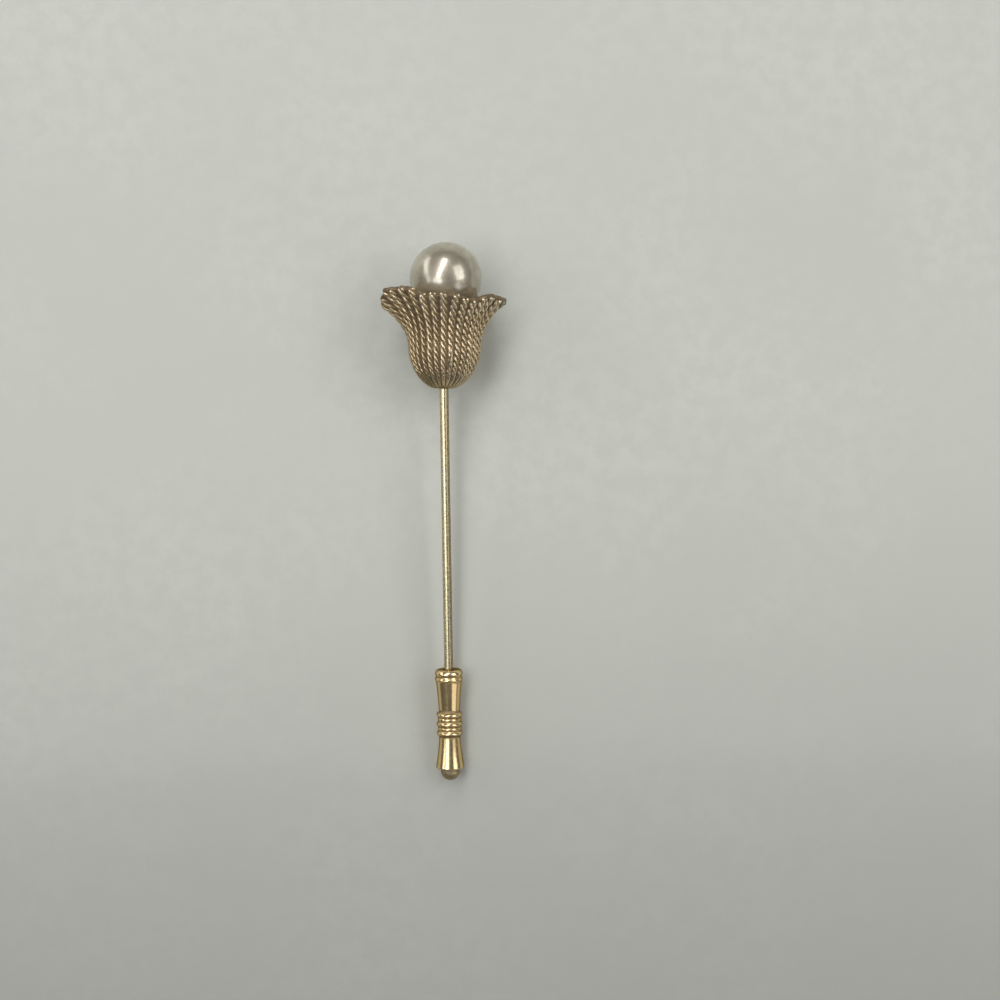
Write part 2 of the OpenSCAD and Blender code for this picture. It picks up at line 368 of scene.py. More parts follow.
def new_piece(name, points, faces, material, body, stands_for, masks=None):
    """Makes one smooth object from points in metres, quads and triangles, and says what body it
    rides on and which packed nodes it stands for. Each mask is kept as a value of the points."""
    quads, fans = faces
    mesh = bpy.data.meshes.new(name)
    mesh.vertices.add(len(points))
    mesh.vertices.foreach_set("co", np.ascontiguousarray(points, np.float32).ravel())
    corners = np.concatenate([quads.ravel(), fans.ravel()]).astype(np.int32)
    mesh.loops.add(len(corners))
    mesh.loops.foreach_set("vertex_index", corners)
    starts = np.concatenate([
        4 * np.arange(len(quads)),
        4 * len(quads) + 3 * np.arange(len(fans)),
    ]).astype(np.int32)
    mesh.polygons.add(len(starts))
    mesh.polygons.foreach_set("loop_start", starts)
    mesh.update(calc_edges=True)
    mesh.shade_smooth()
    for mask, values in (masks or {}).items():
        layer = mesh.attributes.new(mask, "FLOAT", "POINT")
        layer.data.foreach_set("value", np.ascontiguousarray(values, np.float32).ravel())
    if mesh.validate():
        raise RuntimeError(f"{name} has faces that don't hold together")
    mesh.materials.append(material)
    piece = new_object(name, mesh)
    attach(piece, body)
    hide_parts(*stands_for)


# Shader node groups and materials

ORIGIN = (0.0, 0.0, 0.0)


class Shading:
    """A tree of shader nodes, the coordinates that they read, and a short call for each step
    that the finishes use. A socket is given a value, or linked to another node's output."""

    def __init__(self, tree, place):
        self.tree = tree
        self.place = place

    def add(self, kind, sockets, **settings):
        """Adds a node with its settings and its sockets, which go by name or number."""
        made = self.tree.nodes.new(kind)
        for name, value in settings.items():
            setattr(made, name, value)
        for key, value in sockets.items():
            if isinstance(value, bpy.types.NodeSocket):
                self.tree.links.new(value, made.inputs[key])
            else:
                made.inputs[key].default_value = value
        return made

    def calculate(self, operation, a, b=0.0):
        """One step of arithmetic on two values."""
        return self.add("ShaderNodeMath", {0: a, 1: b}, operation=operation).outputs[0]

    def remap(self, value, low, high, to_low=0.0, to_high=1.0):
        """A value from low to high, eased onto to_low to to_high."""
        sockets = {
            "Value": value, "From Min": low, "From Max": high, "To Min": to_low, "To Max": to_high,
        }
        made = self.add("ShaderNodeMapRange", sockets, interpolation_type="SMOOTHSTEP")
        return made.outputs["Result"]

    def raised(self, value, mask, share):
        """A value raised by a share of a mask."""
        return self.calculate("ADD", value, self.calculate("MULTIPLY", mask, share))

    def noise(self, scale, detail=3.0, roughness=0.5, place=None):
        """A noise from 0 to 1."""
        sockets = {
            "Vector": place or self.place, "Scale": scale, "Detail": detail,
            "Roughness": roughness,
        }
        return self.add("ShaderNodeTexNoise", sockets).outputs[0]

    def mask(self, name):
        """A mask that the mesh keeps at its points."""
        return self.add("ShaderNodeAttribute", {}, attribute_name=name).outputs["Fac"]

    def coat(self, under, over, mask, share=1.0):
        """A colour with another one over it where the mask is 1, at most by the share."""
        if share < 1:
            mask = self.calculate("MULTIPLY", mask, share)
        made = self.add(
            "ShaderNodeMix", {0: mask, MIX_A: opaque(under), MIX_B: opaque(over)},
            data_type="RGBA",
        )
        return made.outputs[MIX_RESULT]

    def use(self, name, **sockets):
        """Places a node group at the tree's coordinates and returns its outputs."""
        spelt = {socket.replace("_", " "): value for socket, value in sockets.items()}
        made = self.add(
            "ShaderNodeGroup", {"Vector": self.place, **spelt}, node_tree=group_named(name),
        )
        return made.outputs


class Paint(Shading):
    """A material: a Principled shader, whose fixed values are set on its own sockets, and the
    nodes that feed it, which read Object coordinates."""

    def __init__(self, name, **fixed):
        self.material = bpy.data.materials.new(name)
        self.material.use_nodes = True
        tree = self.material.node_tree
        tree.nodes.clear()
        out = tree.nodes.new("ShaderNodeOutputMaterial")
        self.shader = tree.nodes.new("ShaderNodeBsdfPrincipled")
        tree.links.new(self.shader.outputs["BSDF"], out.inputs["Surface"])
        for socket, value in fixed.items():
            self.shader.inputs[socket.replace("_", " ")].default_value = value
        super().__init__(tree, tree.nodes.new("ShaderNodeTexCoord").outputs["Object"])

    def feed(self, **sources):
        """Links outputs to the shader's sockets."""
        for socket, source in sources.items():
            self.tree.links.new(source, self.shader.inputs[socket.replace("_", " ")])

    def bump(self, height, strength, depth):
        """Bumps the surface by a height, with its depth in millimetres."""
        sockets = {"Strength": strength, "Distance": depth * MM, "Height": height}
        self.feed(Normal=self.add("ShaderNodeBump", sockets).outputs["Normal"])


def opaque(shade):
    """A colour as the sockets take it: with its opacity, or as it is where it is an output."""
    return shade if isinstance(shade, bpy.types.NodeSocket) else (*shade, 1.0)


def blotches(nodes, given):
    """Soft-edged blotches: a noise of the given scale, cut between two levels."""
    noise = nodes.noise(given["Scale"], roughness=0.6)
    return [nodes.remap(noise, given["Low"], given["High"])]


def hairlines(nodes, given):
    """Hairline scratches: a fine noise, in coordinates whose Z runs up the pin's wire, drawn out
    by the Stretch vector. Only a narrow band of its levels is kept. Height is the scratches'
    depth below the surface."""
    turned = nodes.add(
        "ShaderNodeMapping", {"Vector": nodes.place, "Rotation": (math.pi / 2 - TILT, 0, 0)},
        vector_type="POINT",
    )
    drawn = nodes.add(
        "ShaderNodeVectorMath", {0: turned.outputs[0], 1: given["Stretch"]},
        operation="MULTIPLY",
    )
    noise = nodes.noise(given["Scale"], detail=4.0, roughness=0.65, place=drawn.outputs[0])
    away = nodes.calculate("ABSOLUTE", nodes.calculate("SUBTRACT", noise, 0.5))
    band = nodes.remap(away, 0.0, 0.09, -1.0, 0.0)
    return [nodes.calculate("MULTIPLY", band, given["Share"])]


def edge_wear(nodes, given):
    """Wear and grime from a piece's own crest mask: Wear is high on crests where a noise lets
    the plating through, and Grime is high in hollows, with an uneven border."""
    uneven = nodes.calculate("SUBTRACT", nodes.noise(given["Scale"], roughness=0.6), 0.5)
    ragged = nodes.raised(given["Crest"], uneven, 0.9)
    over = nodes.calculate("ADD", given["Wear From"], 0.3)
    under = nodes.calculate("ADD", given["Grime Below"], 0.3)
    return [
        nodes.remap(ragged, given["Wear From"], over),
        nodes.remap(ragged, given["Grime Below"], under, 1.0, 0.0),
    ]


def near_spot(nodes, given):
    """A spot on the surface: 1 in its middle, easing to 0 at its radius, with a ragged
    border."""
    far = nodes.add(
        "ShaderNodeVectorMath", {0: nodes.place, 1: given["Spot"]}, operation="DISTANCE",
    )
    ragged = nodes.calculate("SUBTRACT", nodes.noise(2200.0), 0.5)
    border = nodes.calculate("MULTIPLY", given["Radius"], 1.3)
    grown = nodes.raised(far.outputs["Value"], ragged, border)
    middle = nodes.calculate("MULTIPLY", given["Radius"], 0.35)
    return [nodes.remap(grown, middle, given["Radius"], 1.0, 0.0)]


# The shader node groups: what fills each, its inputs with their defaults, and its outputs
GROUPS = {
    "blotches": (
        blotches, {"Vector": ORIGIN, "Scale": 1000.0, "Low": 0.45, "High": 0.6}, ["Mask"],
    ),
    "hairlines": (
        hairlines,
        {"Vector": ORIGIN, "Stretch": (1.0, 1.0, 1.0), "Scale": 4000.0, "Share": 0.5},
        ["Height"],
    ),
    "edge_wear": (
        edge_wear,
        {"Crest": 0.5, "Vector": ORIGIN, "Scale": 2500.0, "Wear From": 0.75,
         "Grime Below": 0.35},
        ["Wear", "Grime"],
    ),
    "near_spot": (
        near_spot, {"Vector": ORIGIN, "Spot": ORIGIN, "Radius": 1.3 * MM}, ["Mask"],
    ),
}


def group_named(name):
    """A shader node group, made when it is first used."""
    if name in bpy.data.node_groups:
        return bpy.data.node_groups[name]
    fill, inputs, outputs = GROUPS[name]
    group = bpy.data.node_groups.new(name, "ShaderNodeTree")
    for socket, default in inputs.items():
        kind = "NodeSocketFloat" if isinstance(default, float) else "NodeSocketVector"
        made = group.interface.new_socket(socket, in_out="INPUT", socket_type=kind)
        made.default_value = default
    for socket in outputs:
        group.interface.new_socket(socket, in_out="OUTPUT", socket_type="NodeSocketFloat")
    given = group.nodes.new("NodeGroupInput").outputs
    end = group.nodes.new("NodeGroupOutput").inputs
    for socket, value in zip(outputs, fill(Shading(group, given["Vector"]), given)):
        group.links.new(value, end[socket])
    return group


def rope_plating(finishes, spot):
    """Gold plating on the ropes: bright and pale on the crests, brown in the hollows, uneven in
    toning from rope to rope, with one green-grey spot. Painted shade darkens the ropes on the
    cup's left side, and painted light makes them paler near the rim on the right."""
    paint = Paint("rope_plating", Specular_Tint=opaque(finishes.rope_edge))
    crest = paint.mask("crest")
    worn = paint.use("edge_wear", Crest=crest, Scale=1700.0, Wear_From=0.72, Grime_Below=0.05)
    toned_and_shaded = paint.use("blotches", Scale=520.0, Low=0.44, High=0.66)["Mask"]
    # Pale where the crests are worn, and at the rim on the right, where the paleness is partly
    # wear and partly painted light.
    bare = paint.calculate(
        "MAXIMUM", paint.calculate("MULTIPLY", worn["Wear"], 0.75),
        paint.calculate("MULTIPLY", paint.mask("rim_wear_and_light"), 0.6),
    )
    # Painted shade: the toning mask darkens the ropes on the cup's left side in rope_shade, on top
    # of each rope's random toning.
    dark = paint.remap(paint.mask("tone_and_shade"), 0.1, 0.8)
    base = paint.coat(finishes.rope_gold, finishes.rope_copper, toned_and_shaded, share=0.45)
    base = paint.coat(base, finishes.worn_pale, bare)
    base = paint.coat(base, finishes.rope_shade, dark, share=0.9)
    base = paint.coat(base, finishes.rope_brown, worn["Grime"], share=0.85)
    spotted = paint.use("near_spot", Spot=tuple(spot))["Mask"]
    paint.feed(
        Base_Color=paint.coat(base, finishes.tarnish, spotted, share=0.85),
        Metallic=paint.remap(crest, 0.0, 0.7, 0.45, 0.95),
        Roughness=paint.raised(paint.remap(crest, 0.1, 0.9, 0.4, 0.12), toned_and_shaded, 0.08),
    )
    drawn = paint.use("hairlines", Stretch=(1.0, 1.0, 0.12), Scale=9000.0, Share=1.0)
    paint.bump(drawn["Height"], strength=0.25, depth=0.006)
    return paint.material


def solder(finishes, spot):
    """Dull brown-gold solder and toning between the ropes, and cleaner plating inside the
    cup, where the mask lining is 1."""
    paint = Paint("solder", Specular_Tint=opaque(finishes.rope_edge))
    lumps = paint.use("blotches", Scale=1500.0, Low=0.35, High=0.65)["Mask"]
    lining = paint.mask("lining")
    base = paint.coat(finishes.solder_dark, finishes.solder_light, lumps)
    base = paint.coat(base, finishes.lining, lining, share=0.85)
    spotted = paint.use("near_spot", Spot=tuple(spot))["Mask"]
    paint.feed(
        Base_Color=paint.coat(base, finishes.tarnish, spotted, share=0.85),
        Metallic=paint.remap(lining, 0.0, 1.0, 0.35, 0.85),
        Roughness=paint.remap(lumps, 0.0, 1.0, 0.50, 0.34),
    )
    paint.bump(lumps, strength=0.6, depth=0.03)
    return paint.material


def pearl_lacquer(finishes):
    """Pearl lacquer: a soft metallic sheen under a clear coat, mottled cream and grey with
    brown flecks. The chips show the core."""
    paint = Paint(
        "pearl_lacquer", Metallic=0.66, Coat_Weight=1.0, Coat_Roughness=0.07, Coat_IOR=1.7,
    )
    cloud = paint.use("blotches", Scale=330.0, Low=0.36, High=0.64)["Mask"]
    patch = paint.use("blotches", Scale=950.0, Low=0.48, High=0.7)["Mask"]
    fleck = paint.use("blotches", Scale=2600.0, Low=0.5, High=0.72)["Mask"]
    chip = paint.calculate("MULTIPLY", paint.mask("chip"), paint.remap(fleck, 0.0, 1.0, 0.7, 1.0))
    base = paint.coat(finishes.pearl_cream, finishes.pearl_grey, cloud, share=0.7)
    base = paint.coat(base, finishes.pearl_grey, patch, share=0.3)
    base = paint.coat(base, finishes.pearl_core, fleck, share=0.12)
    paint.feed(
        Base_Color=paint.coat(base, finishes.pearl_core, chip),
        Roughness=paint.raised(paint.remap(cloud, 0.0, 1.0, 0.28, 0.36), chip, 0.35),
    )
    paint.bump(paint.noise(5200.0, detail=4.0), strength=0.25, depth=0.012)
    return paint.material


def wire_plating(finishes):
    """Worn gold plating on the stem wire: speckled through to pale metal, with painted shade in
    brown along its right side, and drawing lines along the wire."""
    paint = Paint("wire_plating", Metallic=1.0, Specular_Tint=opaque(finishes.wire_edge))
    worn = paint.use("blotches", Scale=2600.0, Low=0.40, High=0.68)["Mask"]
    speck = paint.use("blotches", Scale=5600.0, Low=0.56, High=0.68)["Mask"]
    base = paint.coat(finishes.wire_gold, finishes.worn_pale, worn, share=0.55)
    base = paint.coat(base, finishes.rope_brown, speck, share=0.3)
    # Painted shade: the wire's right side is coated brown, which dims it.
    base = paint.coat(base, finishes.rope_brown, paint.mask("toned_and_shaded"), share=0.6)
    paint.feed(
        Base_Color=paint.coat(base, finishes.point_metal, paint.mask("ground")),
        Roughness=paint.raised(paint.remap(worn, 0.0, 1.0, 0.25, 0.34), speck, 0.25),
    )
    lines = paint.use("hairlines", Stretch=(1.0, 1.0, 0.10), Scale=7000.0, Share=0.5)
    paint.bump(paint.raised(lines["Height"], speck, -0.8), strength=0.22, depth=0.008)
    return paint.material


def turned_gold(finishes):
    """Polished gold plating on the clutch: turning lines round it, pale wear on the crests, brown
    in the grooves that is partly toning and partly painted shade, and dull brown on the round end."""
    paint = Paint("turned_gold", Metallic=1.0, Specular_Tint=opaque(finishes.clutch_edge))
    dulled = paint.mask("dulled")
    # The grime here is partly toning and partly painted shade: it darkens the grooves between the
    # rings with brown.
    worn = paint.use(
        "edge_wear", Crest=paint.mask("crest"), Scale=1500.0, Wear_From=0.85, Grime_Below=0.15,
    )
    cloud = paint.use("blotches", Scale=900.0, Low=0.4, High=0.8)["Mask"]
    base = paint.coat(finishes.clutch_gold, finishes.clutch_copper, cloud, share=0.25)
    base = paint.coat(base, finishes.worn_pale, worn["Wear"], share=0.5)
    base = paint.coat(base, finishes.rope_brown, worn["Grime"], share=0.8)
    rough = paint.raised(paint.remap(worn["Grime"], 0.0, 1.0, 0.20, 0.45), cloud, 0.06)
    paint.feed(
        Base_Color=paint.coat(base, finishes.clutch_dull, dulled, share=0.7),
        Roughness=paint.raised(rough, dulled, 0.16),
    )
    lines = paint.use("hairlines", Stretch=(0.08, 0.08, 1.0), Scale=9000.0, Share=1.0)
    paint.bump(lines["Height"], strength=0.08, depth=0.003)
    return paint.material


def table_top(finishes):
    """Plain pale table top with a fine grain and mottle, and painted shade that makes it a little
    darker past the clutch.
    """
    paint = Paint("table_top", Roughness=0.6)
    cloud = paint.use("blotches", Scale=22.0, Low=0.3, High=0.7)["Mask"]
    mottle = paint.use("blotches", Scale=420.0, Low=0.35, High=0.65)["Mask"]
    along = paint.add("ShaderNodeSeparateXYZ", {0: paint.place}).outputs["Y"]
    # Painted shade: the table darkens towards the clutch's end and past it.
    past = paint.remap(along, -75 * MM, 15 * MM, 1.0, 0.0)
    darker = [0.93 * value for value in finishes.table]
    dark = [0.5 * value for value in finishes.table]
    base = paint.coat(finishes.table, darker, cloud)
    base = paint.coat(base, darker, mottle, share=0.9)
    paint.feed(Base_Color=paint.coat(base, dark, past, share=0.6))
    paint.bump(paint.noise(1800.0), strength=0.35, depth=0.06)
    return paint.material


# The flower cup


def rim_value(azimuth, column):
    """A column of the rim's table at each azimuth, eased by half a cosine between its rows."""
    places = np.append(RIM[:, 0], RIM[0, 0] + 360)
    values = np.append(RIM[:, column], RIM[0, column])
    a = np.where(azimuth < places[0], azimuth + 360, azimuth)
    row = np.clip(np.searchsorted(places, a, side="right") - 1, 0, len(RIM) - 1)
    t = (a - places[row]) / (places[row + 1] - places[row])
    return mix(values[row], values[row + 1], (1 - np.cos(np.pi * t)) / 2)


def wall_points(cup, u, azimuth):
    """Radius and height of the cup's wall. From u = 0 to 1 it is the bowl, a superellipse from
    the hub to the bowl's radius. From 1 to 2 it is the flare, a cubic Bezier curve that starts
    upright and ends at the rim with the rim's own lean."""
    quarter = np.clip(u, 0, 1) * np.pi / 2
    bowl_r = mix(cup.hub_r, cup.bowl_r, np.sin(quarter) ** BOWL_EXPONENT)
    bowl_h = cup.bowl_h * (1 - np.cos(quarter).clip(0) ** BOWL_EXPONENT)
    t = np.clip(u - 1, 0, 1)
    end_r = cup.rim_r * rim_value(azimuth, REACH)
    end_h = cup.cup_h * rim_value(azimuth, RISE)
    lean = np.radians(rim_value(azimuth, FLARE))
    tall = end_h - cup.bowl_h
    weights = (1 - t) ** 3, 3 * t * (1 - t) ** 2, 3 * t * t * (1 - t), t ** 3
    flare_r = (
        (weights[0] + weights[1]) * cup.bowl_r
        + weights[2] * (end_r - FLARE_END * tall * np.sin(lean)) + weights[3] * end_r
    )
    flare_h = (
        weights[0] * cup.bowl_h + weights[1] * (cup.bowl_h + FLARE_START * tall)
        + weights[2] * (end_h - FLARE_END * tall * np.cos(lean)) + weights[3] * end_h
    )
    return np.where(u <= 1, bowl_r, flare_r), np.where(u <= 1, bowl_h, flare_h)


def wall_frame(cup, u, azimuth):
    """Places on the wall with their directions: along the wall towards the rim, out of the wall
    and round the cup. Along is the wall's own slope by a small step, out is square to it, and
    the three make a right-handed set of out, round and along."""
    r, h = wall_points(cup, u, azimuth)
    step = 0.01
    r1, h1 = wall_points(cup, np.minimum(u + step, 2), azimuth)
    r0, h0 = wall_points(cup, np.maximum(u - step, 0), azimuth)
    steep = np.hypot(r1 - r0, h1 - h0)
    along_r, along_h = (r1 - r0) / steep, (h1 - h0) / steep
    a = np.radians(azimuth)
    outwards = np.stack([np.sin(a), -np.cos(a), 0 * a], axis=-1)
    around = np.stack([np.cos(a), np.sin(a), 0 * a], axis=-1)
    upwards = np.array([0.0, 0.0, 1.0])
    place = r[..., None] * outwards + h[..., None] * upwards
    along = along_r[..., None] * outwards + along_h[..., None] * upwards
    out = along_h[..., None] * outwards - along_r[..., None] * upwards
    return place, along, out, np.broadcast_to(around, place.shape), r


def at_front(azimuth):
    """1 in the middle of the rim's front, easing to 0 to either side by a bell curve."""
    return np.exp(-((azimuth + 180) % 360 - FRONT_AT) ** 2 / FRONT_SPREAD)


def held(values, times):
    """Each rope's values with its last one repeated, for the rings that round off its end."""
    return np.concatenate([values, np.repeat(values[:, -1:], times, axis=1)], axis=1)


def petal_tip(cup):
    """Where the tarnished petal's tip lies on the lying pin, in metres."""
    tip, *_ = wall_frame(cup, np.array([1.98]), np.array([86.0]))
    return lie_down(tip, cup.head_lean)[0]


def rope_lines(cup):
    """The middles of all the ropes, in rows from the base to the rim. A rope follows the wall at
    its own azimuth, as wide as its share of the way round, up to rope_d, and a little uneven.
    Its twist passes a crest with each third of a turn. The count of crests grows along the rope
    by the wall's length over the gap between crests, a little more slowly on the left."""
    count = cup.rope_count
    number = np.arange(count)[:, None]
    azimuth = np.broadcast_to(360.0 * number / count, (count, ROPE_ROWS))
    front = at_front(azimuth)
    u = np.linspace(0, 1, ROPE_ROWS) * mix(1.98, 1.99, front)
    place, along, out, around, r = wall_frame(cup, u, azimuth)
    width = np.minimum(cup.rope_d, 2 * np.pi * r / count)
    uneven = 1 + 0.03 * np.sin(9.0 * u + 2.4 * number)
    left = 0.5 - 0.5 * np.sin(np.radians(azimuth))
    step = np.linalg.norm(np.diff(place, axis=1), axis=-1)
    gap = np.maximum(cup.crest_gap * width * mix(1.0, 1.22, left), cup.slowest)
    crests = np.cumsum(step / ((gap[:, 1:] + gap[:, :-1]) / 2), axis=1)
    return SimpleNamespace(
        number=number, u=u, front=front, left=left, place=place, along=along, out=out,
        around=around, radius=width / 2 * np.minimum(uneven, 1.0),
        crests=np.concatenate([np.zeros((count, 1)), crests], axis=1),
    )


def strand_path(ropes, strand):
    """One of the three strands of every rope: its middle, its radius, the way it runs and two
    directions square to that. The middle circles the rope's own, a third of a turn behind the
    next strand, and falls back by a third of a turn from one crest to the next. Low in the
    bowl, and along the filled rope, the circle closes in and the section swells, so that the
    strands become nearly one plain wire. The whole rope wanders slightly across the wall."""
    u, number = ropes.u, ropes.number
    start = np.modf(0.618 * number)[0]
    turn = 2 * np.pi / 3 * (strand - ropes.crests - start)
    filled = (number == FILLED_ROPE) * smooth_step(u, 0.62, 0.72) * smooth_step(-u, -1.06, -0.96)
    twisted = smooth_step(u, 0.42, 0.66) * (1 - filled)
    swing = ropes.radius * mix(*SWING, twisted)
    wander = 0.05 * ropes.radius * np.sin(5.0 * u + 4.1 * number)
    away = np.cos(turn)[..., None] * ropes.out + np.sin(turn)[..., None] * ropes.around
    centre = ropes.place + swing[..., None] * away + wander[..., None] * ropes.around
    path = np.gradient(centre, axis=1)
    path /= np.linalg.norm(path, axis=-1, keepdims=True)
    beside = np.cross(path, away)
    beside /= np.linalg.norm(beside, axis=-1, keepdims=True)
    return centre, ropes.radius * mix(*THICK, twisted), path, away, beside


def rope_masks(ropes, ring, more):
    """The masks of a strand's points. crest is high where a point stands out of the wall and away
    from its rope's own middle, and even on the rings that round off the end. The toning mask mixes
    each rope's random toning with painted shade, which is strongest on the cup's left, and is
    weaker near the rim. The rim mask is partly wear and partly painted light: it rises to 1 at the
    rim on the right."""
    count = len(ring)
    from_middle = ring - held(ropes.place, more)[:, :, None]
    wide = held(ropes.radius, more)[..., None]
    stands = (from_middle * held(ropes.out, more)[:, :, None]).sum(-1) / wide
    far = np.linalg.norm(from_middle, axis=-1) / wide
    crest = np.clip(stands, 0, 1) * smooth_step(far, 0.45, 0.95)
    crest[:, -more:] = 0.85
    near_rim = np.concatenate([smooth_step(ropes.u, 1.5, 1.9), np.ones((count, more))], axis=1)
    near_rim = near_rim[..., None]
    left = ropes.left[:, :1, None]
    # Painted shade on the cup's left, mixed with each rope's random toning
    tone_and_shade = mix(np.modf(4.326 * ropes.number)[0][..., None], left, 0.7) * mix(1.0, 0.5, near_rim)
    masks = {}
    for name, mask in [("crest", crest), ("tone_and_shade", tone_and_shade), ("rim_wear_and_light", near_rim * (1 - left))]:
        mask = np.broadcast_to(mask, crest.shape)
        masks[name] = np.concatenate([
            mask[:, 0, :1], mask.reshape(count, -1), mask[:, -1, :1],
        ], axis=1).ravel()
    return masks


def rope_strand(ropes, strand):
    """The surface of one of the three strands of every rope: round sections square to its
    path, more rings that close in to a rounded end at the rim, and a pole there. Returns the
    points, the faces and the masks."""
    sides = 10
    centre, thick, path, away, beside = strand_path(ropes, strand)
    close = np.radians(END_RINGS)
    more = len(close)
    tip = path[:, -1:] + 0.5 * ropes.along[:, -1:]
    tip /= np.linalg.norm(tip, axis=-1, keepdims=True)
    reach = mix(*END_REACH, ropes.front[:, -1:, None]) * thick[:, -1:, None]
    beyond = reach * np.sin(close)[None, :, None] * tip
    centre = np.concatenate([centre, centre[:, -1:] + beyond], axis=1)
    thick = np.concatenate([thick, thick[:, -1:] * np.cos(close)], axis=1)
    pole = centre[:, -1:] + reach * tip * (1 - np.sin(close[-1]))
    f = 2 * np.pi * np.arange(sides) / sides
    section = (
        np.cos(f)[:, None] * held(away, more)[:, :, None]
        + np.sin(f)[:, None] * held(beside, more)[:, :, None]
    )
    ring = centre[:, :, None] + thick[..., None, None] * section
    count, rings = thick.shape
    points = np.concatenate([centre[:, :1], ring.reshape(count, -1, 3), pole], axis=1)
    faces = tube_faces(rings, sides, count)
    return points.reshape(-1, 3), faces, rope_masks(ropes, ring, more)


class STICKPIN_OT_rope_wires(bpy.types.Operator):
    """Make the cup's twisted rope wires, as three sets of strands"""

    bl_idname = "stick_pin.rope_wires"
    bl_label = "Rope wires"

    def execute(self, context):
        scene = context.scene
        cup = sizes_of(scene.stick_pin_cup)
        material = rope_plating(scene.stick_pin_finishes, petal_tip(cup))
        ropes = rope_lines(cup)
        for strand, name in enumerate(["rope_strand_a", "rope_strand_b", "rope_strand_c"]):
            points, faces, masks = rope_strand(ropes, strand)
            points = lie_down(points, cup.head_lean)
            new_piece(name, points, faces, material, PIN, ["flower_cup"], masks)
        return {"FINISHED"}


def cup_backing(cup):
    """The solder that joins the ropes, a closed shell. Its profile runs up between the ropes,
    then round the rim as half an ellipse, which is scalloped in front, and down the inside. It
    swells and sinks with the ropes by a cosine of their count. The mask lining is 1 inside the
    cup, from just below the rim down to its floor."""
    columns = 4 * cup.rope_count
    azimuth = 360.0 * np.arange(columns) / columns
    rising = np.linspace(0, 2, WALL_ROWS)
    flat = np.zeros(WALL_ROWS)
    bend = np.radians(np.linspace(15, 165, 7))
    u = np.concatenate([rising, np.full(len(bend), 2.0), rising[::-1]])
    inside = np.concatenate([flat, (1 - np.cos(bend)) / 2, flat + 1])
    beyond = np.concatenate([flat, np.sin(bend), flat])
    grid_a, grid_u = np.meshgrid(azimuth, u, indexing="ij")
    place, along, out, around, r = wall_frame(cup, grid_u, grid_a)
    rope_r = np.minimum(cup.rope_d, 2 * np.pi * r / cup.rope_count) / 2
    beat = np.cos(np.radians(grid_a * cup.rope_count))
    near = rope_r * (mix(*SOLDER_FRONT, smooth_step(grid_u, 1.1, 1.9)) + 0.12 * beat)
    deep = -SOLDER_BACK * cup.wall + 0.05 * rope_r * beat
    shift = mix(near, deep, inside)
    front = at_front(grid_a)
    lip = cup.lip * beyond * mix(1 + 0.25 * beat, 0.2 + 1.1 * beat, front)
    shell = place + shift[..., None] * out + lip[..., None] * along
    # The floor of the cup closes towards the hole round the post
    a = np.radians(azimuth)
    hole = np.stack([np.sin(a), -np.cos(a), 0 * a], axis=-1) * cup.hole_r
    low = hole + np.array([0, 0, 0.02])
    high = hole + np.array([0, 0, SOLDER_BACK * cup.wall])
    shell = np.concatenate([low[:, None], shell, high[:, None]], axis=1)
    around_count, along_count = shell.shape[:2]
    index = np.arange(around_count * along_count).reshape(around_count, along_count)
    right = np.roll(index, -1, axis=0)
    up = np.roll(index, -1, axis=1)
    up_right = np.roll(right, -1, axis=1)
    quads = np.stack([index, right, up_right, up], axis=-1).reshape(-1, 4)
    lining = np.concatenate([[0], (inside == 1) * smooth_step(-u, -2.0, -1.93), [1]])
    lining = np.broadcast_to(lining, (around_count, along_count))
    return shell.reshape(-1, 3), (quads, np.zeros((0, 3), int)), {"lining": lining.ravel()}


class STICKPIN_OT_cup_backing(bpy.types.Operator):
    """Make the solder that holds the ropes together and lines the cup"""

    bl_idname = "stick_pin.cup_backing"
    bl_label = "Cup backing"

    def execute(self, context):
        scene = context.scene
        cup = sizes_of(scene.stick_pin_cup)
        points, faces, masks = cup_backing(cup)
        points = lie_down(points, cup.head_lean)
        material = solder(scene.stick_pin_finishes, petal_tip(cup))
        new_piece(
            "cup_backing", points, faces, material, PIN, ["flower_cup"], masks,
        )
        return {"FINISHED"}


# The pearl


# Shallow dents and the chips' ragged borders: each a sine's way and its start
PEARL_DENTS = [
    ((7, 3, 5), 0.4), ((-4, 8, 2), 1.9), ((3, -5, 9), 3.1), ((13, 9, -6), 0.8),
    ((-11, 4, 14), 2.6),
]
CHIP_BORDERS = [
    ((37, 11, 29), 0.2), ((-23, 41, 17), 1.3), ((31, -35, 23), 2.2), ((61, 47, -39), 0.9),
]
# The chips: a direction in the upright frame, right, away from the viewer and up the pin, with
# the angular radius and the share of the chip depth
CHIPS = [
    ((0.55, -0.79, -0.25), 0.17, 0.9),
    ((0.47, -0.87, -0.16), 0.08, 0.6),
    ((-0.14, -0.95, -0.26), 0.035, 0.4),
    ((-0.62, 0.55, -0.30), 0.06, 0.8),
    ((0.30, 0.62, 0.70), 0.045, 0.6),
]


